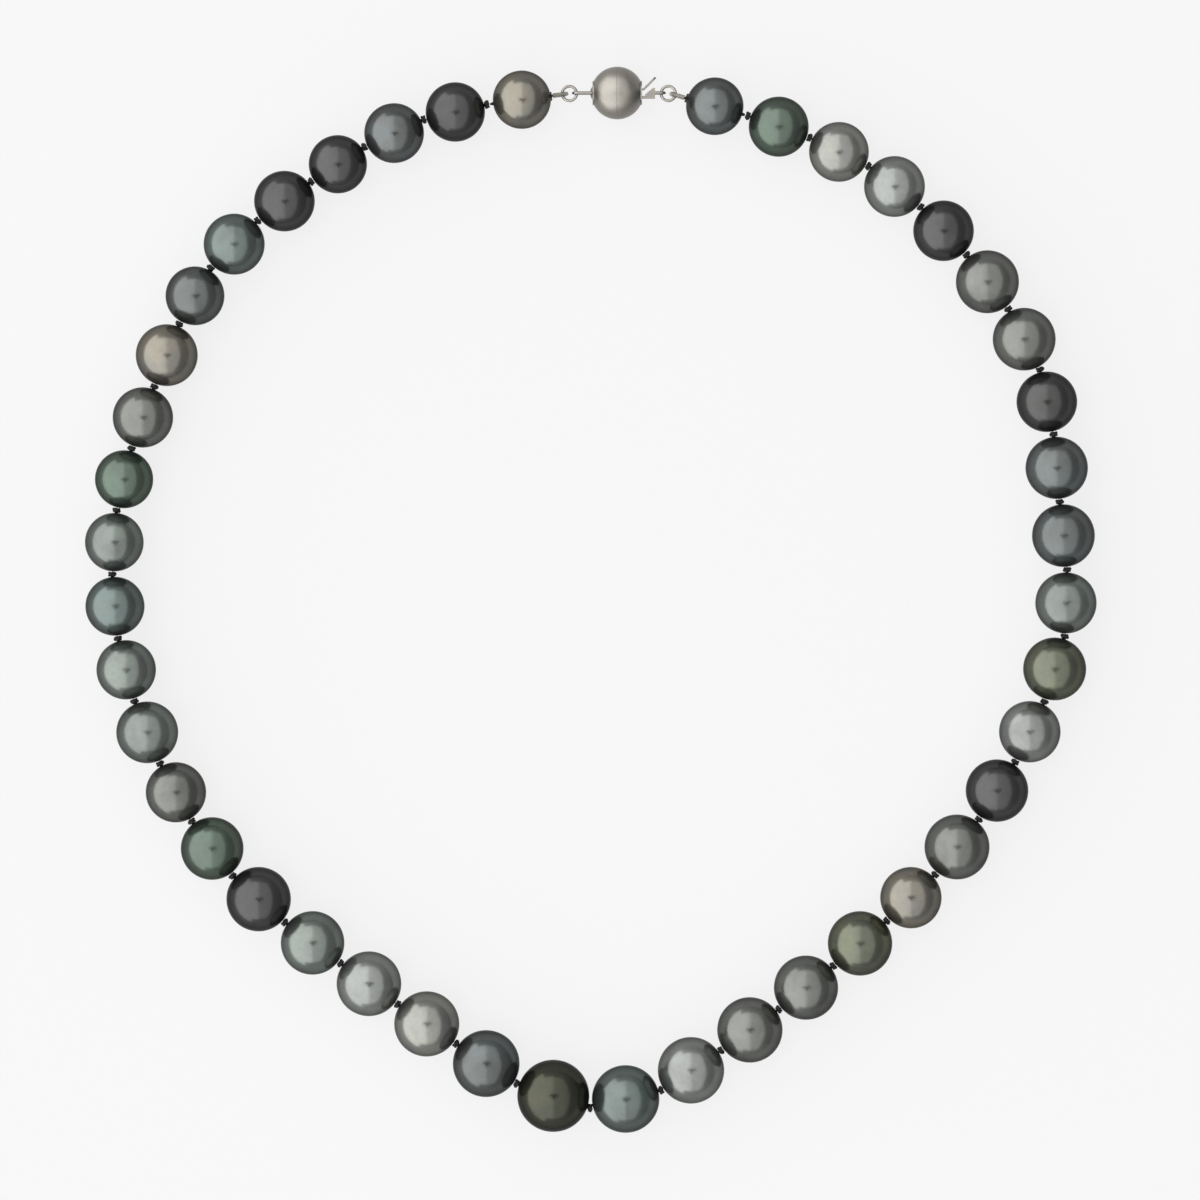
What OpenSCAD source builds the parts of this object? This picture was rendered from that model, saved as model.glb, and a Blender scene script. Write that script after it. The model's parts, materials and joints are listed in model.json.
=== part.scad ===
// Knotted strand of 43 round multicolour cultured pearls, closed by a ball clasp.
// The necklace lies closed on a flat surface, clasp at +Y, largest pearl at -Y.

/* [Pearls] */
// Diameter of the two pearls next to the clasp
end_pearl_d = 8.9; // [7.4:0.1:10]
// Diameter that the graduation reaches beside the front pearl
middle_pearl_d = 10.2; // [8.5:0.1:12.3]
// Diameter of the single largest pearl at the front
front_pearl_d = 11; // [9.5:0.1:13]
// How much of the natural size variation between pearls is kept, 1 for all of it
size_variation = 1; // [0:0.1:1]
// Diameter of the hole drilled through each pearl
drill_d = 0.9; // [0.7:0.05:1.1]

/* [Silk] */
// Gap between neighbouring pearls, filled by the knot
knot_gap = 0.8; // [0.66:0.02:1.1]
// Diameter of a knot across the strand
knot_d = 1.2; // [1.1:0.05:1.3]
// Diameter of the knot at each end of the strand
end_knot_d = 1.6; // [1.6:0.05:2]
// Diameter of the silk thread
thread_d = 0.6; // [0.4:0.05:0.6]

/* [Ball clasp] */
// Diameter of the ball
ball_d = 8; // [7.4:0.1:10]
// Wall of the two half shells
shell_wall = 0.45; // [0.3:0.05:0.5]
// Diameter of the flat at each end of the ball
flat_d = 3.68; // [3.6:0.02:4]
// Thickness of the folded spring strip of the tongue
strip_t = 0.28; // [0.22:0.02:0.34]
// Width of the tongue
strip_w = 2.2; // [1.8:0.1:2.4]
// Width of the neck that joins the spring leaf to its thumb lever
neck_w = 0.7; // [0.5:0.05:0.9]
// Rise of the spring leaf at rest, in degrees
leaf_rise = 8.4; // [8:0.1:9]
// Angle that a full press turns the spring leaf through
press_angle = 6.6; // [6.2:0.1:6.8]
// Length of the thumb lever beyond its bend
lever_l = 2.55; // [1.8:0.05:3]
// Width of the thumb lever
lever_w = 1.5; // [1:0.1:2]

/* [Rings and gimps] */
// Diameter of the wire of the bails and jump rings
wire_d = 0.45; // [0.36:0.01:0.54]
// Inner diameter of a jump ring
ring_in_d = 1.75; // [1.6:0.05:2.4]
// Distance that the ball's bail stands out from the ball, to the middle of its far wire
bail_out = 2.7; // [2.4:0.1:3.6]
// Distance that the tongue's bail stands out from the ball, to the middle of its far wire
tongue_out = 3.2; // [3:0.1:4]
// Outer diameter of the gimp, the coiled wire sleeve round the end loops of silk
gimp_d = 0.66; // [0.6:0.02:0.7]
// Distance from the far wire of a gimp to the pearl beside it
gimp_reach = 2.9; // [2.8:0.05:3.4]

/* [Clearances] */
// Gap between a knot and the pearls on both sides of it
knot_clear = 0.08; // [0.06:0.01:0.12]
// Play of a jump ring between the two wires that it joins
ring_slack = 0.14; // [0.1:0.02:0.2]
// Gap between a jump ring and the inside of the gimp that it passes through
gimp_clear = 0.065; // [0.05:0.005:0.1]
// Gap between a jump ring and the inside of the bail that it passes through
bail_clear = 0.2; // [0.1:0.05:0.3]
// Gap between the tongue and the edges of its slot
slot_clear = 0.1; // [0.06:0.02:0.14]
// Gap between the spring leaf's knuckle and the fold round it
fold_clear = 0.04; // [0.03:0.01:0.06]
// Gap between a plug and its seat, and between a leg and its hole
seat_clear = 0.02; // [0.01:0.01:0.04]

/* [Hidden] */
FRONT = 22;
COUNT = 43;
$fn = 48;

// Natural size variation of each pearl, in tenths of a millimetre
STEP = [
  0, 1, 1, -2, 1, 1, -3, 1, -2, -6, -6, -6, -6, -3, -6, -3, -1, -3, -2, -2, 0,
  0,
  1, 0, -1, -2, -1, -5, 1, -2, -3, 0, -2, 1, 1, -1, 3, 4, 1, 2, 1, 2, -1
];

// Body colours of the pearls, and the tone of each pearl in order from the clasp
charcoal = [0.20, 0.21, 0.20];
blackolive = [0.19, 0.20, 0.15];
slate = [0.32, 0.34, 0.34];
olive = [0.36, 0.37, 0.29];
peacock = [0.28, 0.38, 0.31];
teal = [0.36, 0.43, 0.41];
graphite = [0.40, 0.41, 0.38];
sage = [0.45, 0.48, 0.45];
silver = [0.54, 0.56, 0.53];
champagne = [0.56, 0.53, 0.47];
pale = [0.62, 0.62, 0.58];
TONE = [
  champagne, charcoal, slate, charcoal, charcoal, teal, slate, champagne, graphite, peacock,
  sage, teal, sage, sage, graphite, peacock, charcoal, sage, silver, pale, slate,
  blackolive,
  teal, silver, graphite, graphite, olive, champagne, graphite, charcoal, silver, olive, sage,
  slate, teal, charcoal, graphite, graphite, charcoal, silver, pale, peacock, teal
];
gold = [0.74, 0.71, 0.66];

// The way the strand lies, from the left bail round the front to the tongue's bail
ROUTE = [
  [-3, 77], [-25.5, 73], [-42, 64], [-57.5, 51], [-66, 33.5], [-72, 14.5], [-72, -5],
  [-65.5, -24.5], [-54.5, -41.5], [-38.5, -54.5], [-19, -68], [-8, -74.5], [4.5, -76.5],
  [16, -70], [27, -62.5], [40, -52], [52, -41], [64, -24], [71.5, -4.5], [70.5, 16],
  [67.5, 35.5], [56.5, 52.5], [41.5, 66], [23.5, 73.5], [11, 77]
];

ball_r = ball_d / 2;
knot_t = knot_gap - 2 * knot_clear;
wire_r = wire_d / 2;
gimp_r = gimp_d / 2;
// Bore of the gimp, and the silk inside it
gimp_bore_r = 0.2;
loop_silk_r = 0.17;
// Mean radius of a bail's bend and of a gimp's round end
bail_bend_r = 2 * wire_r + bail_clear;
gimp_bend_r = wire_r + gimp_r + gimp_clear;
gimp_leg = 1.45;
// Distance between the two wires that a jump ring joins, when it is pulled straight
ring_link = ring_in_d - wire_r - gimp_r - ring_slack;
ring_mean_r = (ring_in_d + wire_d) / 2;
bail_reach = ball_r + bail_out;
tongue_reach = ball_r + tongue_out;
clasp_link = bail_reach + tongue_reach;

function pearl_d(i) = i == FRONT ? front_pearl_d
  : middle_pearl_d - (middle_pearl_d - end_pearl_d) * (abs(i - FRONT) - 1) / (FRONT - 2)
    + size_variation * STEP[i - 1] / 10;

// Links 0 and 44 are the jump rings, 1 to 43 the pearls, 45 the closed clasp
function link_l(i) = i == 0 || i == COUNT + 1 ? ring_link
  : i == COUNT + 2 ? clasp_link
  : lead(i) + pearl_d(i) + tail(i);
function lead(i) = i == 1 ? gimp_reach : knot_gap / 2;
function tail(i) = i == COUNT ? gimp_reach : knot_gap / 2;
LINK = [for (i = [0 : COUNT + 2]) link_l(i)];

function total(v) = v * [for (a = v) 1];
function at(v, i) = v[(i + len(v)) % len(v)];
function spline(p, i, t) = let (a = at(p, i - 1), b = at(p, i), c = at(p, i + 1), d = at(p, i + 2))
  0.5 * (2 * b + (c - a) * t + (2 * a - 5 * b + 4 * c - d) * t * t
    + (3 * b - a - 3 * c + d) * t * t * t);

CURVE = [for (i = [0 : len(ROUTE) - 1], k = [0 : 23]) spline(ROUTE, i, k / 24)];
ALONG = [for (i = 0, s = 0; i <= len(CURVE); s = s + norm(at(CURVE, i + 1) - at(CURVE, i)), i = i + 1) s];
X_AT = [for (i = [0 : len(CURVE)]) [ALONG[i], at(CURVE, i).x]];
Y_AT = [for (i = [0 : len(CURVE)]) [ALONG[i], at(CURVE, i).y]];

// The pivots between links, placed by arc length on the route scaled to fit the strand.
// Each pass lengthens the arcs until every straight link has its own length.
function place(arcs) = let (f = total(arcs) / ALONG[len(CURVE)])
  [for (i = 0, s = 0; i < len(arcs); s = s + arcs[i], i = i + 1)
    f * [lookup(s / f, X_AT), lookup(s / f, Y_AT)]];
function settle(arcs, n) = let (p = place(arcs)) n == 0 ? p
  : settle([for (i = [0 : len(arcs) - 1]) arcs[i] + LINK[i] - norm(at(p, i + 1) - p[i])], n - 1);
RAW = settle(LINK, 6);

function heading(a, b) = atan2(b.y - a.y, b.x - a.x);
function along(i) = (at(RAW, i + 1) - RAW[i]) / norm(at(RAW, i + 1) - RAW[i]);
function raw_centre(i) = RAW[i] + along(i) * (lead(i) + pearl_d(i) / 2);
RAW_BALL = RAW[0] - along(COUNT + 2) * bail_reach;

// The origin is under the middle of the necklace
LOW = [for (k = [0 : 1]) min([for (i = [1 : COUNT]) raw_centre(i)[k] - pearl_d(i) / 2])];
HIGH = [for (k = [0 : 1]) max(RAW_BALL[k] + ball_r,
  max([for (i = [1 : COUNT]) raw_centre(i)[k] + pearl_d(i) / 2]))];
MID = (LOW + HIGH) / 2;
PIVOT = [for (p = RAW) p - MID];
BALL = RAW_BALL - MID;

function turn(i) = heading(PIVOT[i], at(PIVOT, i + 1));
function wrap(a) = a > 180 ? a - 360 : a < -180 ? a + 360 : a;
// Bend between link i - 1 and link i, at pivot i
function bend(i) = wrap(turn(i) - turn((i + COUNT + 2) % (COUNT + 3)));

// Each link's own frame starts at its pivot, with X along the link
module on_link(i) {
  translate([PIVOT[i].x, PIVOT[i].y, 0]) rotate(turn(i)) children();
}

module rod(l, r) { rotate([0, 90, 0]) cylinder(h = l, r = r); }

module drilled_pearl(d) {
  rotate([0, 90, 0]) difference() {
    sphere(d = d);
    cylinder(h = 2 * d, d = drill_d, center = true);
  }
}

// A tight knot: a flat round bead with a rounded rim
module knot(d) {
  core_r = (d - knot_t) / 2;
  rotate([0, 90, 0]) rotate_extrude() {
    translate([0, -knot_t / 2]) square([core_r, knot_t]);
    translate([core_r, 0]) intersection() {
      circle(d = knot_t);
      translate([0, -knot_t]) square([d, 2 * knot_t]);
    }
  }
}

// Loop in the XZ plane: a half round end whose wire is centred on X = 0, and two legs along +X
module loop(bend_r, leg, r) {
  translate([bend_r, 0, 0]) rotate([90, 0, 0]) rotate(90) rotate_extrude(angle = 180)
    translate([bend_r, 0]) circle(r = r, $fn = 24);
  for (s = [-1, 1]) translate([bend_r, 0, s * bend_r]) rod(leg, r);
}

// Silk of the first and last pearl: loop through the gimp, end knot and the thread, from X = 0
module end_silk(d) {
  knot_x = gimp_reach - knot_t / 2 - 0.03;
  translate([0, 0, ball_r]) loop(gimp_bend_r, knot_x - gimp_bend_r, loop_silk_r);
  translate([knot_x, 0, ball_r]) knot(end_knot_d);
  translate([knot_x, 0, d / 2]) rod(gimp_reach - knot_x + d - 0.06, thread_d / 2);
}

// Thread of a pearl from X = a to b at the height of its hole, and its knots at both given ends
module strung_silk(i) {
  l = LINK[i];
  from = i <= FRONT ? 0 : knot_gap / 2 + 0.06;
  to = i >= FRONT ? l : l - knot_gap / 2 - 0.06;
  translate([from, 0, pearl_d(i) / 2]) rod(to - from, thread_d / 2);
  if (i <= FRONT)
    translate([0, 0, (pearl_d(i) + pearl_d(i - 1)) / 4]) rotate(-bend(i) / 2) knot(knot_d);
  if (i >= FRONT)
    translate([l, 0, (pearl_d(i) + pearl_d(i + 1)) / 4]) rotate(bend(i + 1) / 2) knot(knot_d);
}

// One pearl with its hole, and apart from it the knot and thread that go with it
module pearl(i) {
  d = pearl_d(i);
  on_link(i) {
    color(TONE[i - 1]) translate([lead(i) + d / 2, 0, d / 2]) drilled_pearl(d);
    color("black") {
      if (i == 1) end_silk(d);
      else if (i == COUNT) translate([LINK[i], 0, 0]) mirror([1, 0, 0]) end_silk(d);
      else strung_silk(i);
    }
  }
}

// The gimp: a hollow sleeve of coiled wire round the loop of silk
module gimp() {
  color(gold) translate([0, 0, ball_r]) difference() {
    loop(gimp_bend_r, gimp_leg, gimp_r);
    loop(gimp_bend_r, gimp_leg + 1, gimp_bore_r);
  }
}
module gimp_left() { on_link(1) gimp(); }
module gimp_right() { on_link(COUNT) translate([LINK[COUNT], 0, 0]) mirror([1, 0, 0]) gimp(); }

// A jump ring, lying flat, round the far wires of a bail at X = 0 and a gimp at X = ring_link
module jump_ring() {
  color(gold) translate([(ring_link + gimp_r - wire_r) / 2, 0, ball_r])
    rotate_extrude() translate([ring_mean_r, 0]) circle(r = wire_r, $fn = 32);
}
module jump_ring_left() { on_link(0) jump_ring(); }
module jump_ring_right() {
  on_link(COUNT + 1) translate([ring_link, 0, 0]) mirror([1, 0, 0]) jump_ring();
}

// The clasp's own frame: origin at the ball's centre, X towards the tongue, Y outwards
module on_clasp() {
  translate([BALL.x, BALL.y, ball_r]) rotate(turn(COUNT + 2) + 180) children();
}

flat_x = sqrt(ball_r * ball_r - flat_d * flat_d / 4);
seat_r = flat_d / 2 - 0.09;
plug_x = flat_x - 0.55;
flange_t = 0.2;

// Half of the hollow ball, towards +X, with a round seat in its flat end
module half_shell() {
  color(gold) difference() {
    rotate([0, 90, 0]) intersection() {
      sphere(r = ball_r, $fn = 96);
      cylinder(r = ball_d, h = flat_x);
    }
    rotate([0, 90, 0]) sphere(r = ball_r - shell_wall, $fn = 96);
    translate([1, 0, 0]) rod(ball_d, seat_r);
    // Fine bevel of the seam
    rotate([0, 90, 0]) rotate_extrude($fn = 96)
      polygon([[ball_r - 0.05, 0], [ball_r + 0.1, -0.1], [ball_r + 0.1, 0.15]]);
  }
}
module clasp_half_shell_right() { on_clasp() half_shell(); }
module clasp_half_shell_left() { on_clasp() mirror([1, 0, 0]) half_shell(); }

// Plug and flange that close one end of the ball, towards +X
module end_plate() {
  translate([plug_x, 0, 0]) rod(flat_x - plug_x + flange_t / 2, seat_r - seat_clear);
  translate([flat_x, 0, 0]) rod(flange_t, flat_d / 2);
}

// Domed cap on the side away from the tongue, with two holes for the bail's legs
module clasp_end_cap() {
  boss_r = 1.05;
  boss_h = 0.4;
  dome_r = (boss_r * boss_r + boss_h * boss_h) / (2 * boss_h);
  face = flat_x + flange_t;
  on_clasp() mirror([1, 0, 0]) color(gold) difference() {
    union() {
      end_plate();
      translate([face + boss_h - dome_r, 0, 0]) rotate([0, 90, 0]) intersection() {
        sphere(r = dome_r);
        translate([0, 0, dome_r - boss_h - 0.05]) cylinder(r = dome_r, h = dome_r);
      }
    }
    for (s = [-1, 1]) translate([plug_x - 1, 0, s * bail_bend_r]) rod(4, wire_r + seat_clear);
  }
}

// A bail: two legs along X and a half round bend, its far wire centred on X = reach
module bail(reach, from) {
  color(gold) translate([reach, 0, 0]) mirror([1, 0, 0])
    loop(bail_bend_r, reach - bail_bend_r - from, wire_r);
}
module clasp_bail() { on_clasp() mirror([1, 0, 0]) bail(bail_reach, plug_x + 0.1); }

// Fold of the tongue: the spring leaf turns about Z here
knuckle_r = strip_t / 2;
fold_r = knuckle_r + fold_clear + strip_t;
fold = [fold_r + 0.34 - plug_x, -0.35];
shoulder_x = plug_x - 0.15;
// The fold is flattened on top, so that it passes the slot of the mouth
fold_top = knuckle_r + (shoulder_x - fold.x) * sin(leaf_rise - press_angle);
base_top = fold.y - knuckle_r - fold_clear;
bend_x = flat_x + 0.5;
slot_top = fold.y + fold_top + slot_clear;
notch_top = fold.y + (flat_x + flange_t - fold.x) * tan(leaf_rise)
  + knuckle_r / cos(leaf_rise) + slot_clear;

// Mouth of the ball: a slot for the tongue with a notch above it for the neck of the lever
module clasp_mouth_plate() {
  w = strip_w + 2 * slot_clear;
  n = neck_w + 2 * slot_clear;
  bottom = base_top - strip_t - slot_clear;
  on_clasp() color(gold) difference() {
    end_plate();
    translate([plug_x - 1, bottom, -w / 2]) cube([3, slot_top - bottom, w]);
    translate([plug_x - 1, bottom, -n / 2]) cube([3, notch_top - bottom, n]);
  }
}

block_x = flat_x + flange_t + 0.5;
block_l = 1.5;
block_w = 2;

// Lower leaf, its fold at the inner end and the block that carries the bail
module tongue_base() {
  on_clasp() color(gold) difference() {
    union() {
      translate([fold.x, base_top - strip_t, -strip_w / 2])
        cube([block_x - fold.x + 0.2, strip_t, strip_w]);
      translate([fold.x, fold.y, -strip_w / 2]) difference() {
        cylinder(r = fold_r, h = strip_w);
        translate([0, 0, -1]) cylinder(r = knuckle_r + fold_clear, h = strip_w + 2);
        translate([0, -1, -1]) cube([2, 2, strip_w + 2]);
        translate([-2, fold_top, -1]) cube([4, 2, strip_w + 2]);
      }
      translate([0, 0, -block_w / 2]) linear_extrude(block_w) polygon([
        [block_x, base_top - strip_t], [block_x + block_l, base_top - strip_t],
        [block_x + block_l, 0.7], [block_x + 1.2, 0.7], [block_x, -0.28]
      ]);
    }
    for (s = [-1, 1])
      translate([block_x + 0.6, 0, s * bail_bend_r]) rod(2, wire_r + seat_clear);
  }
}

module tongue_bail() { on_clasp() bail(tongue_reach, block_x + 0.7); }

// Upper leaf: a knuckle in the fold, a full width leaf whose shoulders catch behind the mouth,
// a narrow neck through the notch, and a thumb lever bent up outside
module tongue_spring_leaf() {
  shoulder = (shoulder_x - fold.x) / cos(leaf_rise);
  corner = (bend_x - fold.x) / cos(leaf_rise);
  on_clasp() translate([fold.x, fold.y, 0]) rotate(leaf_rise) color(gold) {
    translate([0, 0, -strip_w / 2]) {
      cylinder(r = knuckle_r, h = strip_w);
      translate([0, -strip_t / 2, 0]) cube([shoulder, strip_t, strip_w]);
    }
    translate([shoulder - 0.1, -strip_t / 2, -neck_w / 2]) cube([corner - shoulder + 0.1, strip_t, neck_w]);
    translate([corner, 0, -neck_w / 2]) cylinder(r = strip_t / 2, h = neck_w);
    translate([corner, 0, 0]) rotate(45 - leaf_rise) rotate([90, 0, 0])
      translate([0, 0, -strip_t / 2]) linear_extrude(strip_t) {
        translate([0, -neck_w / 2]) square([1, neck_w]);
        translate([0.45, -lever_w / 2]) square([lever_l - 0.45 - lever_w / 2, lever_w]);
        translate([lever_l - lever_w / 2, 0]) circle(d = lever_w);
      }
  }
}

function pearl_name(i) = str("pearl_", i < 10 ? "0" : "", i);

for (i = [1 : COUNT]) pearl(i);
clasp_half_shell_left();
clasp_half_shell_right();
clasp_end_cap();
clasp_bail();
clasp_mouth_plate();
tongue_base();
tongue_bail();
tongue_spring_leaf();
jump_ring_left();
jump_ring_right();
gimp_left();
gimp_right();
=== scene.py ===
import json
import math

import bpy
import numpy as np
from mathutils import Matrix, Vector, noise


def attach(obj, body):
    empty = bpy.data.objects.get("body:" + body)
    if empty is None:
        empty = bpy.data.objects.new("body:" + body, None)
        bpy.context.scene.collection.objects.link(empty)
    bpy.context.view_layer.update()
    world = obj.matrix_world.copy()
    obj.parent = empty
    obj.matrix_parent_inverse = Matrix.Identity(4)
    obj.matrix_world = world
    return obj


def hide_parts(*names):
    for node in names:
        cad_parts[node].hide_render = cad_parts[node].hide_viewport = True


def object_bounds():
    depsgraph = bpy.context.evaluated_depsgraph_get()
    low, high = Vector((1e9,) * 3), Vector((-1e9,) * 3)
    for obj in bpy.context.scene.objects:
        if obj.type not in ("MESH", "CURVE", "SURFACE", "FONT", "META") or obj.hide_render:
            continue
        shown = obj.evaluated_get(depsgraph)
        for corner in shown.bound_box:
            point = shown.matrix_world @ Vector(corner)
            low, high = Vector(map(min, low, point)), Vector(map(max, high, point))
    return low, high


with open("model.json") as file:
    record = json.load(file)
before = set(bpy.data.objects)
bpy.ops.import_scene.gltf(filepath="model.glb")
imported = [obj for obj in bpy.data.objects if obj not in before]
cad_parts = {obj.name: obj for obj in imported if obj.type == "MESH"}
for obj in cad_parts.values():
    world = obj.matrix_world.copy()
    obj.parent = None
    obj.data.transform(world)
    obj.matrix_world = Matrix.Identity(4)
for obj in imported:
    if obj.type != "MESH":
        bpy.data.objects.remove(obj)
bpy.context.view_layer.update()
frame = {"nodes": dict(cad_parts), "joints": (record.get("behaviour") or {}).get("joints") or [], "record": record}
MM = 0.001
FRONT, COUNT = 22, 43

# sizes of the visual pieces
BORE = 0.45 * MM  # radius of the hole drilled through a pearl
THREAD_R = 0.3 * MM
KNOT_D, KNOT_T = 1.44 * MM, 0.80 * MM
END_KNOT_D, END_KNOT_T = 1.6 * MM, 0.74 * MM
END_KNOT_X = 2.55 * MM  # from the end loop's far wire to the end knot
END_PEARL_X = 2.9 * MM  # from the end loop's far wire to the end pearl
GIMP_BEND, GIMP_LEG = 0.62 * MM, 1.45 * MM  # the loop's bend radius and straight legs
GIMP_R, GIMP_WIRE_R, GIMP_PITCH = 0.33 * MM, 0.058 * MM, 0.128 * MM
RING_R, RING_WIRE_R = 1.1 * MM, 0.224 * MM
RING_SHIFT = 0.58 * MM  # from a ring's pivot to its middle
BAIL_BEND, BAIL_WIRE_R = 0.65 * MM, 0.225 * MM
BALL_REACH = 6.7 * MM  # from the far wire of the ball's bail to the ball's middle
TONGUE_REACH = 7.2 * MM  # the same for the tongue's bail
SHELL_WALL = 0.45 * MM
FLAT_R, SEAT_R = 1.84 * MM, 1.75 * MM
SEAM_DEPTH, SEAM_HALF = 0.03 * MM, 0.025 * MM

# ---------------------------------------------------------------- where things are

nodes = frame["nodes"]
joints = {j["name"]: Vector(j["pos_m"]) for j in frame["joints"]}
body_of = {n: b for b, names in frame["record"]["behaviour"]["bodies"].items() for n in names}


def pearl_name(i):
    return f"pearl_{i:02d}"


def node_points(name):
    me = nodes[name].data
    co = np.zeros(len(me.vertices) * 3)
    me.vertices.foreach_get("co", co)
    return co.reshape(-1, 3)


def pearl_sphere(i):
    """Centre and radius of a pearl, from its CAD node. It rests on the floor."""
    co = node_points(pearl_name(i))
    r = co[:, 2].max() / 2
    # thread and knots lie within this much of the height of the hole
    silk_band = 1.1 * MM
    sel = co[np.abs(co[:, 2] - r) > silk_band]
    a = np.c_[2 * sel, np.ones(len(sel))]
    x = np.linalg.lstsq(a, (sel**2).sum(1), rcond=None)[0]
    return Vector((x[0], x[1], r)), r


def knot_place(i):
    """Middle of the knot between pearls i - 1 and i, from the CAD node that holds it."""
    owner, other = (i, i - 1) if i <= FRONT else (i - 1, i)
    co = node_points(pearl_name(owner))
    c, r = SPHERE[owner]
    c2, r2 = SPHERE[other]
    outside_pearl, outside_thread = 0.1 * MM, 0.36 * MM
    far = np.linalg.norm(co - np.array(c), axis=1) > r + outside_pearl
    side = (co - np.array(c)) @ np.array(c2 - c) > 0
    zc = (r + r2) / 2
    rim = np.abs(co[:, 2] - zc) > outside_thread
    k = co[far & side & rim]
    return Vector((*((k.min(0) + k.max(0)) / 2)[:2], zc))


SPHERE = {i: pearl_sphere(i) for i in range(1, COUNT + 1)}
PIVOT = {i: knot_place(i) for i in range(2, COUNT + 1)}
BALL_Z = joints["bail_hinge_left"].z
PIVOT[0], PIVOT[1] = joints["bail_hinge_left"], joints["gimp_hinge_left"]
PIVOT[44], PIVOT[45] = joints["gimp_hinge_right"], joints["bail_hinge_right"]


def flat(v):
    return Vector((v.x, v.y, 0))


def heading(a, b):
    return flat(PIVOT[b] - PIVOT[a]).normalized()


ALONG = {i: heading(i, i + 1) for i in range(0, 45)}
CLASP_X = heading(0, 45)
BALL_R = BALL_Z
BALL = flat(PIVOT[0]) + CLASP_X * BALL_REACH + Vector((0, 0, BALL_Z))


def local(origin, x):
    """Matrix of a frame with X along the strand and Z up."""
    x = flat(x).normalized()
    y = Vector((0, 0, 1)).cross(x)
    m = Matrix.Identity(4)
    for k in range(3):
        m[k][0], m[k][1], m[k][2], m[k][3] = x[k], y[k], (0, 0, 1)[k], origin[k]
    return m


# ---------------------------------------------------------------- mesh helpers


def build(name, verts, faces, mat, to=None, body=None, replaces=(), slot=None):
    me = bpy.data.meshes.new(name)
    v = np.asarray(verts, float)
    if to is not None:
        m = np.array(to)
        v = v @ m[:3, :3].T + m[:3, 3]
    me.from_pydata(v.tolist(), [], faces)
    me.validate()
    me.materials.append(mat)
    me.polygons.foreach_set("use_smooth", [True] * len(me.polygons))
    me.update()
    ob = bpy.data.objects.new(name, me)
    bpy.context.scene.collection.objects.link(ob)
    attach(ob, body)
    if replaces:
        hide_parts(*replaces)
    return ob


def grid_faces(rows, cols, wrap_rows, wrap_cols):
    """Quads of a grid of vertices, row after row, joined round its ends where it wraps."""
    out = []
    for a in range(rows if wrap_rows else rows - 1):
        b = (a + 1) % rows
        for c in range(cols if wrap_cols else cols - 1):
            d = (c + 1) % cols
            out.append((a * cols + c, b * cols + c, b * cols + d, a * cols + d))
    return out


def lathe(profile, segments):
    """A closed profile of (x, radius) turned about X."""
    p = np.asarray(profile)
    t = np.linspace(0, 2 * math.pi, segments, endpoint=False)
    v = np.stack(
        [
            np.repeat(p[:, :1], segments, 1),
            p[:, 1:2] * np.cos(t)[None],
            p[:, 1:2] * np.sin(t)[None],
        ],
        -1,
    ).reshape(-1, 3)
    return v, [f[::-1] for f in grid_faces(len(p), segments, True, True)]


def frames_along(path, closed):
    """Points of a path with two directions across it that don't twist."""
    p = np.asarray(path, float)
    if closed:
        t = np.roll(p, -1, 0) - np.roll(p, 1, 0)
    else:
        t = np.gradient(p, axis=0)
    t /= np.linalg.norm(t, axis=1)[:, None]
    n = np.zeros_like(p)
    ref = np.array([0, 0, 1.0]) if abs(t[0][2]) < 0.8 else np.array([0, 1.0, 0])
    v = ref - t[0] * (ref @ t[0])
    n[0] = v / np.linalg.norm(v)
    for k in range(1, len(p)):
        v = n[k - 1] - t[k] * (n[k - 1] @ t[k])
        n[k] = v / np.linalg.norm(v)
    b = np.cross(t, n)
    if closed:
        # spread the twist that is left over the whole loop
        v = n[-1] - t[0] * (n[-1] @ t[0])
        v /= np.linalg.norm(v)
        left = math.atan2(np.cross(v, n[0]) @ t[0], v @ n[0])
        a = np.linspace(0, left, len(p), endpoint=False)[:, None]
        n, b = n * np.cos(a) + b * np.sin(a), b * np.cos(a) - n * np.sin(a)
    return p, n, b


def tube(path, r, sides=10, closed=False):
    p, n, b = frames_along(path, closed)
    a = np.linspace(0, 2 * math.pi, sides, endpoint=False)
    r = np.broadcast_to(np.asarray(r, float), len(p))
    v = p[:, None] + r[:, None, None] * (
        np.cos(a)[None, :, None] * n[:, None] + np.sin(a)[None, :, None] * b[:, None]
    )
    v = v.reshape(-1, 3)
    f = [q[::-1] for q in grid_faces(len(p), sides, closed, True)]
    if not closed:
        v = np.vstack([v, p[0], p[-1]])
        first, last, e = len(v) - 2, len(v) - 1, (len(p) - 1) * sides
        for k in range(sides):
            j = (k + 1) % sides
            f.append((first, j, k))
            f.append((last, e + k, e + j))
    return v, f


def plies(path, turns, offset, r, count=2, sides=8, closed=False):
    """Twisted yarn: count plies wound round a path."""
    p, n, b = frames_along(path, closed)
    s = np.linspace(0, 1, len(p), endpoint=not closed)
    vs, fs, base = [], [], 0
    for c in range(count):
        a = (2 * math.pi * (turns * s + c / count))[:, None]
        q = p + offset * (np.cos(a) * n + np.sin(a) * b)
        v, f = tube(q, r, sides, closed)
        vs.append(v)
        fs += [tuple(i + base for i in face) for face in f]
        base += len(v)
    return np.vstack(vs), fs


def join(*parts):
    """One mesh of several parts."""
    vs, fs, base = [], [], 0
    for v, f in parts:
        vs.append(np.asarray(v))
        fs += [tuple(i + base for i in face) for face in f]
        base += len(v)
    return np.vstack(vs), fs


def resample(path, n):
    """A path with n points at even distances."""
    p = np.asarray(path, float)
    s = np.r_[0, np.cumsum(np.linalg.norm(np.diff(p, axis=0), axis=1))]
    t = np.linspace(0, s[-1], n)
    return np.stack([np.interp(t, s, p[:, k]) for k in range(3)], 1)


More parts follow.
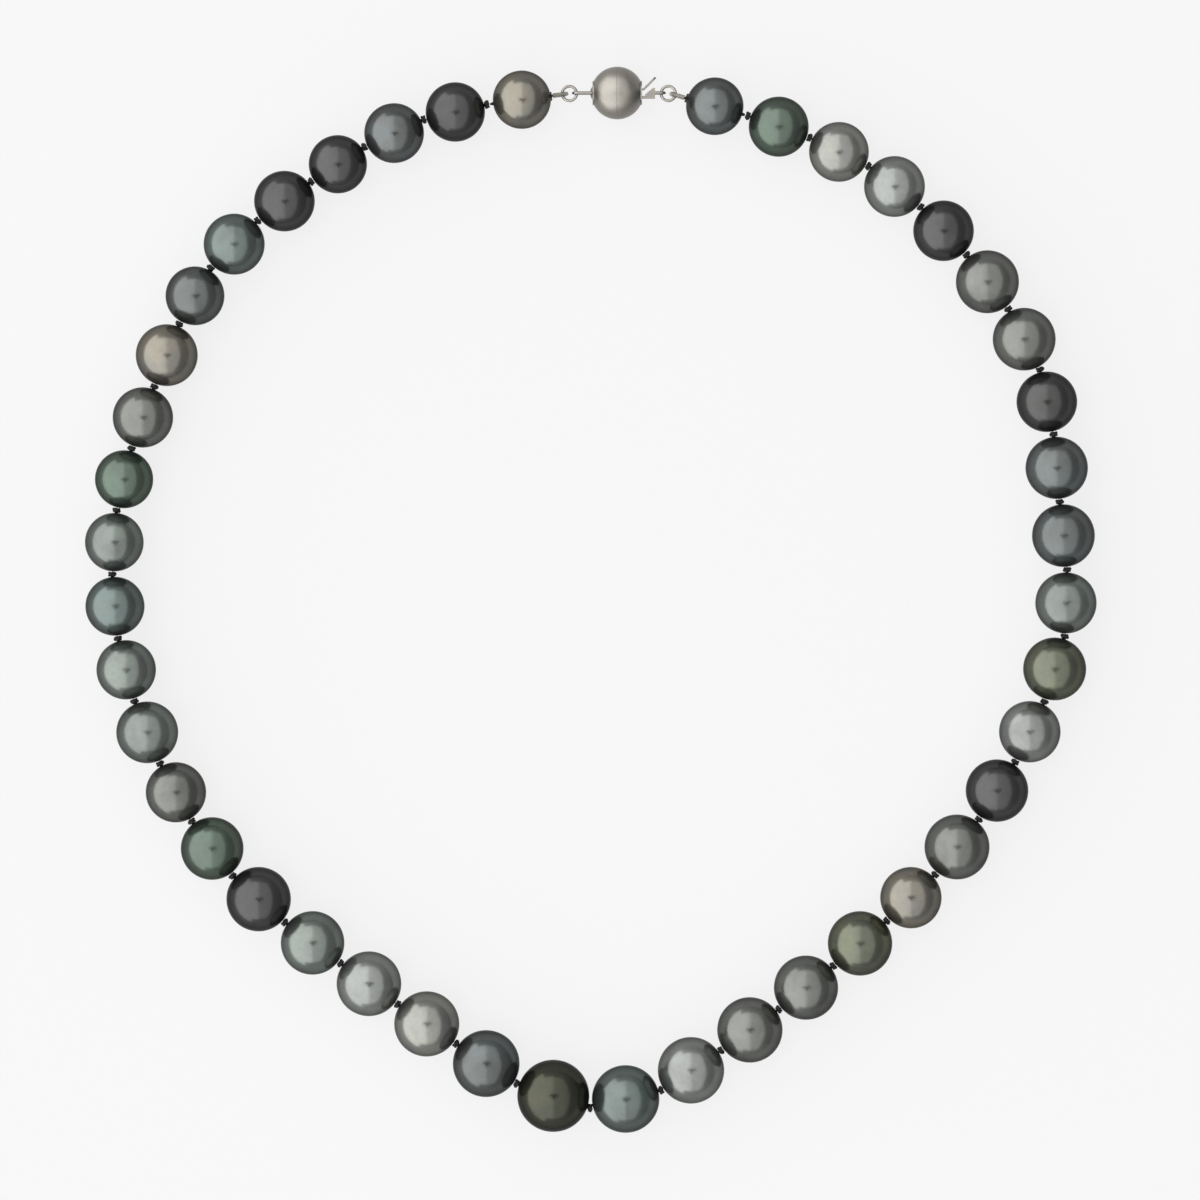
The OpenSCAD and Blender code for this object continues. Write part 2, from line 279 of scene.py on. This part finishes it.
def u_path(bend_r, leg, steps=28):
    """A half round end whose wire is centred on X = 0, and two legs along +X, in the XZ plane."""
    a = np.linspace(math.pi / 2, 3 * math.pi / 2, steps)
    arc = np.stack([bend_r + bend_r * np.cos(a), 0 * a, bend_r * np.sin(a)], 1)
    return np.vstack([[bend_r + leg, 0, bend_r], arc, [bend_r + leg, 0, -bend_r]])


# ---------------------------------------------------------------- materials


class Nodes:
    def __init__(self, name):
        self.mat = bpy.data.materials.new(name)
        self.mat.use_nodes = True
        self.tree = self.mat.node_tree
        self.bsdf = self.tree.nodes["Principled BSDF"]
        self.coord = self.add("ShaderNodeTexCoord").outputs["Object"]

    def add(self, kind, **values):
        n = self.tree.nodes.new(kind)
        for k, v in values.items():
            if hasattr(n, k):
                setattr(n, k, v)
            else:
                n.inputs[k.replace("_", " ")].default_value = v
        return n

    def link(self, a, b):
        self.tree.links.new(a, b)

    def noise(self, scale, detail=3, rough=0.5, distortion=0.0, coord=None):
        n = self.add("ShaderNodeTexNoise", Scale=scale, Detail=detail, Roughness=rough, Distortion=distortion)
        self.link(coord or self.coord, n.inputs["Vector"])
        return n.outputs["Fac"]

    def ramp(self, fac, stops):
        n = self.add("ShaderNodeValToRGB")
        e = n.color_ramp.elements
        while len(e) < len(stops):
            e.new(0.5)
        for k, (pos, col) in enumerate(stops):
            e[k].position = pos
            e[k].color = (*col, 1) if len(col) == 3 else col
        self.link(fac, n.inputs["Fac"])
        return n.outputs["Color"]

    def range(self, fac, lo, hi, a=0.0, b=1.0):
        n = self.add("ShaderNodeMapRange")
        for k, v in (("From Min", a), ("From Max", b), ("To Min", lo), ("To Max", hi)):
            n.inputs[k].default_value = v
        self.link(fac, n.inputs["Value"])
        return n.outputs["Result"]

    def bump(self, height, distance, strength=1.0, normal=None):
        n = self.add("ShaderNodeBump", Strength=strength, Distance=distance)
        self.link(height, n.inputs["Height"])
        if normal is not None:
            self.link(normal, n.inputs["Normal"])
        return n.outputs["Normal"]

    def set(self, **values):
        for k, v in values.items():
            self.bsdf.inputs[k.replace("_", " ")].default_value = v


def shade(c, k):
    return tuple(min(1.0, x * k) for x in c)


# how much light each body colour gives back, and its overtone
TONES = {
    "charcoal": ((0.045, 0.045, 0.044), (1.00, 0.99, 1.02)),
    "blackolive": ((0.038, 0.040, 0.030), (1.03, 1.00, 0.94)),
    "slate": ((0.078, 0.083, 0.080), (0.97, 1.00, 1.05)),
    "olive": ((0.081, 0.086, 0.067), (1.02, 1.02, 0.92)),
    "peacock": ((0.066, 0.082, 0.068), (0.96, 1.03, 0.98)),
    "teal": ((0.086, 0.100, 0.094), (0.96, 1.02, 1.03)),
    "graphite": ((0.101, 0.104, 0.096), (1.00, 1.00, 1.00)),
    "sage": ((0.114, 0.124, 0.116), (0.98, 1.03, 0.98)),
    "silver": ((0.147, 0.152, 0.144), (1.00, 1.01, 1.01)),
    "champagne": ((0.128, 0.123, 0.108), (1.05, 1.00, 0.93)),
    "pale": ((0.153, 0.155, 0.145), (1.02, 1.01, 0.97)),
}
ORDER = (
    "champagne charcoal slate charcoal charcoal teal slate champagne graphite peacock "
    "sage teal sage sage graphite peacock charcoal sage silver pale slate "
    "blackolive "
    "teal silver graphite graphite olive champagne graphite charcoal silver olive sage "
    "slate slate charcoal graphite graphite charcoal silver pale peacock slate"
).split()


def nacre(tone):
    colour, over = TONES[tone]
    s = Nodes("nacre_" + tone)
    # broad clouds of overtone, then finer mottling
    cloud = s.noise(190, 2, 0.5, 0.4)
    tint = tuple(c * o for c, o in zip(colour, over))
    body = s.ramp(
        cloud,
        [(0.25, shade(colour, 0.80)), (0.47, colour), (0.62, shade(tint, 1.08)), (0.8, shade(colour, 0.92))],
    )
    fine = s.noise(1500, 4, 0.6)
    mottle = s.ramp(fine, [(0.3, (0.90, 0.90, 0.90)), (0.7, (1.0, 1.0, 1.0))])
    mix = s.add("ShaderNodeMix", data_type="RGBA", blend_type="MULTIPLY")
    mix.inputs["Factor"].default_value = 1.0
    s.link(body, mix.inputs[6])
    s.link(mottle, mix.inputs[7])
    s.link(mix.outputs[2], s.bsdf.inputs["Base Color"])
    s.link(s.range(s.noise(700, 3), 0.19, 0.27), s.bsdf.inputs["Roughness"])
    # growth ripples, and a few shallow pits
    pits = s.add("ShaderNodeTexVoronoi", Scale=420.0)
    s.link(s.coord, pits.inputs["Vector"])
    few = s.range(pits.outputs["Distance"], 0.0, 1.0, 0.03, 0.13)
    n1 = s.bump(s.noise(420, 4, 0.55), 0.00006, 0.5)
    n2 = s.bump(few, 0.00001, 0.5, n1)
    s.link(n2, s.bsdf.inputs["Normal"])
    s.link(n1, s.bsdf.inputs["Coat Normal"])
    s.set(Metallic=0.88, Coat_Weight=0.12, Coat_Roughness=0.09, Coat_IOR=1.4, IOR=1.45)
    s.set(Specular_Tint=(0.22, 0.22, 0.22, 1))
    return s.mat


def silk():
    s = Nodes("black_silk")
    fibre = s.noise(5200, 3, 0.7)
    black = s.ramp(fibre, [(0.3, (0.003, 0.003, 0.003)), (0.75, (0.009, 0.009, 0.009))])
    s.link(black, s.bsdf.inputs["Base Color"])
    s.link(s.range(fibre, 0.42, 0.62), s.bsdf.inputs["Roughness"])
    s.link(s.bump(fibre, 0.00004, 0.6), s.bsdf.inputs["Normal"])
    s.set(Specular_IOR_Level=0.22, Sheen_Weight=0.06, Sheen_Roughness=0.4, Sheen_Tint=(0.25, 0.24, 0.24, 1))
    return s.mat


def metal(name, colour, rough, grain, worn):
    """Satin or polished white gold: fine brushing across the surface, brighter where it is rubbed."""
    s = Nodes(name)
    m = s.add("ShaderNodeMapping")
    m.inputs["Scale"].default_value = grain
    s.link(s.coord, m.inputs["Vector"])
    lines = s.noise(900, 4, 0.6, coord=m.outputs["Vector"])
    patina = s.noise(420, 3, 0.5)
    s.link(
        s.ramp(patina, [(0.3, shade(colour, worn)), (0.6, colour), (0.8, shade(colour, 1.05))]),
        s.bsdf.inputs["Base Color"],
    )
    s.link(s.range(lines, rough * 0.8, rough * 1.25), s.bsdf.inputs["Roughness"])
    s.link(s.bump(lines, 0.00001, 0.5), s.bsdf.inputs["Normal"])
    s.set(Metallic=1.0)
    return s.mat


NACRE = {t: nacre(t) for t in TONES}
SILK = silk()
GOLD = (0.205, 0.193, 0.172)
SATIN = metal("white_gold_satin", GOLD, 0.38, (1, 1, 6), 0.86)
PLATE = metal("white_gold_plate", shade(GOLD, 0.95), 0.30, (6, 1, 1), 0.84)
RING = metal("ring_wire", shade(GOLD, 1.05), 0.16, (1, 1, 1), 0.82)
GIMP = metal("gimp_wire", shade(GOLD, 1.35), 0.2, (1, 1, 1), 0.84)

# ---------------------------------------------------------------- pearls


def pearl_mesh(r, seed):
    """A drilled pearl about the origin, with its hole along X."""
    rim = 0.13 * MM
    t0 = math.asin((BORE + rim) / r)
    arc = np.linspace(t0, math.pi - t0, 66)
    shell = [(-r * math.cos(t), r * math.sin(t)) for t in arc]
    x0 = shell[0][0]
    turns = (0.35, 0.8, 1.25)
    hole = [(x0 + rim * (1 - math.cos(a)) * 0.9, BORE + rim * (1 - math.sin(a))) for a in turns]
    tunnel = [(x, BORE) for x in np.linspace(x0 + rim, -x0 - rim, 9)]
    profile = list(reversed(shell)) + hole + tunnel + [(-x, y) for x, y in reversed(hole)]
    v, f = lathe(profile, 96)
    # natural pearls are never quite round: a slow swell, and faint rings round the drill axis
    swell_share, ring_share, ring_count = 0.0042, 0.0006, 9
    off = Vector((seed * 3.7, seed * 1.9, seed * 5.3))
    d = np.linalg.norm(v, axis=1)
    out = np.empty_like(v)
    for k, p in enumerate(v):
        if d[k] < r * 0.985:
            out[k] = p
            continue
        u = Vector(p / d[k])
        swell = 0.5 + 0.5 * noise.noise(u * 1.3 + off)
        rings = 0.5 + 0.5 * math.sin(ring_count * math.acos(max(-1, min(1, u.x))) + seed)
        out[k] = p * (1 - swell_share * max(0, swell) - ring_share * rings)
    return out, f


def knot_mesh(d, thick, phase=0.0):
    """A tight overhand knot: two turns of the thread wrapped through each other round the strand."""
    t = np.linspace(0, 2 * math.pi, 110, endpoint=False)
    r_ply = 0.2 * MM
    wave_x, wave_r = thick / 2 - r_ply, 0.1 * MM
    radius = d / 2 - r_ply - wave_r + wave_r * np.cos(3 * t)
    around = 2 * t + phase
    path = np.stack([wave_x * np.sin(3 * t), radius * np.cos(around), radius * np.sin(around)], 1)
    part = plies(path, 11, 0.085 * MM, 0.118 * MM, 2, 7, True)
    # the turns hidden inside the bead
    core_r, eye_r, half = d / 2 - r_ply, 0.05 * MM, thick / 2 - 0.07 * MM
    core = [
        (-half, eye_r), (-half, core_r * 0.7), (-half * 0.6, core_r * 0.95), (0, core_r),
        (half * 0.6, core_r * 0.95), (half, core_r * 0.7), (half, eye_r),
    ]
    return join(part, lathe(core[::-1], 24))


def yarn(x0, x1, z):
    """A straight length of two-ply thread along X."""
    turns_per_mm = 0.55
    n = max(8, int((x1 - x0) / (0.22 * MM)))
    path = np.stack([np.linspace(x0, x1, n), np.zeros(n), np.full(n, z)], 1)
    return plies(path, (x1 - x0) / MM * turns_per_mm, THREAD_R * 0.44, THREAD_R * 0.54, 2, 8)


def bend_at(i):
    """Angle that the strand turns through at pivot i."""
    a, b = ALONG[i - 1], ALONG[i]
    return math.atan2(a.x * b.y - a.y * b.x, a.dot(b))


def turned(part, origin, angle):
    """A part turned about Z and moved to its origin."""
    v, f = part
    c, s = math.cos(angle), math.sin(angle)
    v = v @ np.array([[c, s, 0], [-s, c, 0], [0, 0, 1]]) + np.array(origin)
    return v, f


def strung_silk(i):
    """Thread and knots of a pearl in its own frame: origin at its first pivot, X along the strand."""
    length = (flat(PIVOT[i + 1]) - flat(PIVOT[i])).length
    r = SPHERE[i][1]
    # the thread stops short of a knot that belongs to the next pearl
    short = 0.46 * MM
    from_x = 0.0 if i <= FRONT else short
    to_x = length if i >= FRONT else length - short
    parts = [yarn(from_x, to_x, r)]
    if i <= FRONT:
        zc = PIVOT[i].z
        parts.append(turned(knot_mesh(KNOT_D, KNOT_T, 0.7 * i), (0, 0, zc), -bend_at(i) / 2))
    if i >= FRONT:
        zc = PIVOT[i + 1].z
        parts.append(turned(knot_mesh(KNOT_D, KNOT_T, 0.9 * i), (length, 0, zc), bend_at(i + 1) / 2))
    return join(*parts)


def end_silk(i):
    """End of the strand: a loop of silk in the gimp, the end knot, and the thread into the pearl."""
    r = SPHERE[i][1]
    loop = u_path(GIMP_BEND, GIMP_LEG)
    loop = np.vstack([[END_KNOT_X, 0, THREAD_R], loop, [END_KNOT_X, 0, -THREAD_R]])
    loop = resample(loop, 90) + np.array([0, 0, BALL_Z])
    parts = [plies(loop, 10, 0.07 * MM, 0.1 * MM, 2, 7)]
    parts.append(turned(knot_mesh(END_KNOT_D, END_KNOT_T, 0.4 * i), (END_KNOT_X, 0, BALL_Z), 0))
    parts.append(yarn(END_KNOT_X - 0.05 * MM, END_PEARL_X + 2 * r - 0.1 * MM, r))
    return join(*parts)


for i in range(1, COUNT + 1):
    name, tone = pearl_name(i), ORDER[i - 1]
    c, r = SPHERE[i]
    v, f = pearl_mesh(r, i)
    build(f"nacre_{i:02d}", v, f, NACRE[tone], local(c, ALONG[i]), body_of[name], (name,), "nacre_" + tone)
    if i == 1:
        to = local(flat(PIVOT[1]), ALONG[1])
        v, f = end_silk(1)
    elif i == COUNT:
        to = local(flat(PIVOT[44]), -ALONG[COUNT])
        v, f = end_silk(COUNT)
    else:
        to = local(flat(PIVOT[i]), ALONG[i])
        v, f = strung_silk(i)
    build(f"silk_{i:02d}", v, f, SILK, to, body_of[name], (name,))

# ---------------------------------------------------------------- gimps and rings


def gimp_mesh():
    """A fine coil round the silk loop."""
    path = resample(u_path(GIMP_BEND, GIMP_LEG), 700)
    p, n, b = frames_along(path, False)
    s = np.r_[0, np.cumsum(np.linalg.norm(np.diff(p, axis=0), axis=1))]
    a = (2 * math.pi * s / GIMP_PITCH)[:, None]
    coil = p + (GIMP_R - GIMP_WIRE_R) * (np.cos(a) * n + np.sin(a) * b)
    return tube(coil, GIMP_WIRE_R, 6)


def ring_mesh():
    """A jump ring of bent wire, whose two ends leave a hair between them."""
    a = np.radians(np.linspace(1.1, 358.9, 97))
    path = np.stack([RING_R * np.cos(a), RING_R * np.sin(a), 0 * a], 1)
    return tube(path, RING_WIRE_R, 20)


lift = Vector((0, 0, BALL_Z))
coil, ring = gimp_mesh(), ring_mesh()
# side, gimp pivot, way into the strand there, ring pivot, way to the pearl there, turn of the ring's ends
ENDS = (
    ("left", 1, ALONG[1], 0, ALONG[0], 2.2),
    ("right", 44, -ALONG[43], 45, -ALONG[44], -2.0),
)
for side, gimp_at, inward, _, _, _ in ENDS:
    name = "gimp_" + side
    to = local(flat(PIVOT[gimp_at]) + lift, inward)
    build("gimp_coil_" + side, *coil, GIMP, to, body_of[name], (name,), "gimp_wire")
for side, _, _, ring_at, inward, turn in ENDS:
    name = "jump_ring_" + side
    to = local(flat(PIVOT[ring_at]) + inward * RING_SHIFT + lift, inward) @ Matrix.Rotation(turn, 4, "Z")
    build("ring_" + side, *ring, RING, to, name, (name,), "ring_wire")

# ---------------------------------------------------------------- clasp

clasp = local(BALL, CLASP_X)
FLAT_X = math.sqrt(BALL_R**2 - FLAT_R**2)


def half_shell_mesh():
    """The right half of the ball: a shell from the seam to the flat, about X."""
    inner = BALL_R - SHELL_WALL
    seam_edge, lip_edge = 0.06 * MM, 0.02 * MM
    a0, a1 = math.asin(seam_edge / BALL_R), math.asin(FLAT_X / BALL_R)
    outer = [(BALL_R * math.sin(a), BALL_R * math.cos(a)) for a in np.linspace(a0, a1, 40)]
    b1 = math.acos(SEAT_R / inner)
    inside = [(inner * math.sin(b), inner * math.cos(b)) for b in np.linspace(b1, 0, 16)]
    seam = [(0, BALL_R - SEAM_DEPTH), (SEAM_HALF, BALL_R - 0.4 * SEAM_DEPTH)]
    lip = [(FLAT_X, FLAT_R - lip_edge), (FLAT_X, SEAT_R)]
    return lathe(seam + outer + lip + inside, 128)


def flipped(part):
    """A part mirrored in X, with its faces turned so that they still look out."""
    v, f = part
    v = v.copy()
    v[:, 0] *= -1
    return v, [q[::-1] for q in f]


shell = half_shell_mesh()
build("ball_shell_right", *shell, SATIN, clasp, "clasp_ball", ("clasp_half_shell_right",), "white_gold")
shell = flipped(shell)
build("ball_shell_left", *shell, SATIN, clasp, "clasp_ball", ("clasp_half_shell_left",), "white_gold")


def bail_mesh(reach, start):
    """A U of wire, from its far end to a plate that stands start from the ball's middle."""
    leg = reach - BAIL_BEND - start
    return tube(resample(u_path(BAIL_BEND, leg), 72), BAIL_WIRE_R, 18)


bail = bail_mesh(BALL_REACH, FLAT_X - SHELL_WALL)
to = local(flat(PIVOT[0]) + lift, CLASP_X)
build("bail_ball", *bail, RING, to, "clasp_ball", ("clasp_bail",), "white_gold")
tongue_wall = 1.4 * MM
bail = bail_mesh(TONGUE_REACH, FLAT_X + tongue_wall)
to = local(flat(PIVOT[45]) + lift, -CLASP_X)
build("bail_tongue", *bail, RING, to, "clasp_tongue", ("tongue_bail",), "white_gold")

# these CAD pieces stay as they are, with the plate's metal and softened edges
for name in ("clasp_end_cap", "clasp_mouth_plate", "tongue_base", "tongue_spring_leaf"):
    ob = nodes[name]
    ob.data.materials.clear()
    ob.data.materials.append(PLATE)
    bev = ob.modifiers.new("edge", "BEVEL")
    bev.width, bev.segments = 0.04 * MM, 2
    bev.limit_method, bev.angle_limit = "ANGLE", math.radians(40)

# ---------------------------------------------------------------- floor, light and camera

lo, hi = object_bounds()
mid = (lo + hi) / 2

me = bpy.data.meshes.new("floor")
me.from_pydata([(-3, -3, 0), (3, -3, 0), (3, 3, 0), (-3, 3, 0)], [], [(0, 1, 2, 3)])
s = Nodes("pale_floor")
paper = s.ramp(s.noise(3, 2), [(0.3, (0.052, 0.052, 0.052)), (0.7, (0.055, 0.055, 0.055))])
s.link(paper, s.bsdf.inputs["Base Color"])
s.set(Roughness=0.9, Specular_IOR_Level=0.0, Emission_Color=(1, 1, 1, 1), Emission_Strength=0.80)
me.materials.append(s.mat)
floor = bpy.data.objects.new("floor", me)
bpy.context.scene.collection.objects.link(floor)


def panel(name, at, to, wide, tall, radiance):
    """A softbox at one point, facing another, whose face has the given radiance."""
    d = bpy.data.lights.new(name, "AREA")
    d.shape, d.size, d.size_y = "RECTANGLE", wide, tall
    d.energy = radiance * math.pi * wide * tall
    ob = bpy.data.objects.new(name, d)
    ob.location = at
    ob.rotation_euler = (Vector(to) - Vector(at)).to_track_quat("-Z", "Y").to_euler()
    bpy.context.scene.collection.objects.link(ob)


panel("light_top_left", (-0.65, -0.55, 1.1), (-0.65, -0.55, 0), 1.3, 6.6, 2.6)
panel("light_left", (-1.32, -0.55, 0.56), (0, -0.55, 0.56), 6.6, 1.08, 2.6)
panel("light_top_right", (0.72, -0.4, 1.1), (0.72, -0.4, 0), 1.44, 6.0, 1.25)

# the walls of the light tent, brighter on the left
world = bpy.data.worlds.new("tent")
world.use_nodes = True
w = world.node_tree
way = w.nodes.new("ShaderNodeTexCoord")
split = w.nodes.new("ShaderNodeSeparateXYZ")
tent = w.nodes.new("ShaderNodeMapRange")
for k, x in (("From Min", 0.9), ("From Max", -0.9), ("To Min", 0.48), ("To Max", 1.3)):
    tent.inputs[k].default_value = x
w.links.new(way.outputs["Generated"], split.inputs[0])
w.links.new(split.outputs["X"], tent.inputs["Value"])
w.links.new(tent.outputs["Result"], w.nodes["Background"].inputs["Strength"])
w.nodes["Background"].inputs["Color"].default_value = (0.97, 0.985, 1.0, 1)
bpy.context.scene.world = world

# the dark bulk of a camera, which the pearls mirror at their tops
me = bpy.data.meshes.new("dark_reflector")
height, aside = 0.86, 0.03
outline = [
    (-0.07, -0.17), (0.06, -0.17), (0.08, -0.05), (0.24, -0.04),
    (0.22, 0.09), (-0.2, 0.07), (-0.22, -0.04), (-0.08, -0.05),
]
corners = [(mid.x + aside + x, mid.y + y, height) for x, y in outline]
me.from_pydata(corners, [], [tuple(range(len(corners)))])
s = Nodes("dark_reflector")
black = s.ramp(s.noise(20), [(0.3, (0.01, 0.01, 0.01)), (0.7, (0.03, 0.03, 0.03))])
s.link(black, s.bsdf.inputs["Base Color"])
me.materials.append(s.mat)
dark = bpy.data.objects.new("dark_reflector", me)
bpy.context.scene.collection.objects.link(dark)
dark.visible_camera = False
dark.visible_shadow = False

cam = bpy.data.cameras.new("camera")
# the picture is 182.5 mm wide at the pearls' middles, 895.2 mm below the camera
cam.sensor_width, cam.lens = 36, 36 * 0.8952 / 0.1825
cam.clip_start, cam.clip_end = 0.01, 20
cam_ob = bpy.data.objects.new("camera", cam)
cam_ob.location = (mid.x + 0.00141, mid.y - 0.00009, 0.9)
bpy.context.scene.collection.objects.link(cam_ob)
bpy.context.scene.camera = cam_ob
bpy.context.scene.view_settings.view_transform = "Standard"

bpy.context.view_layer.update()
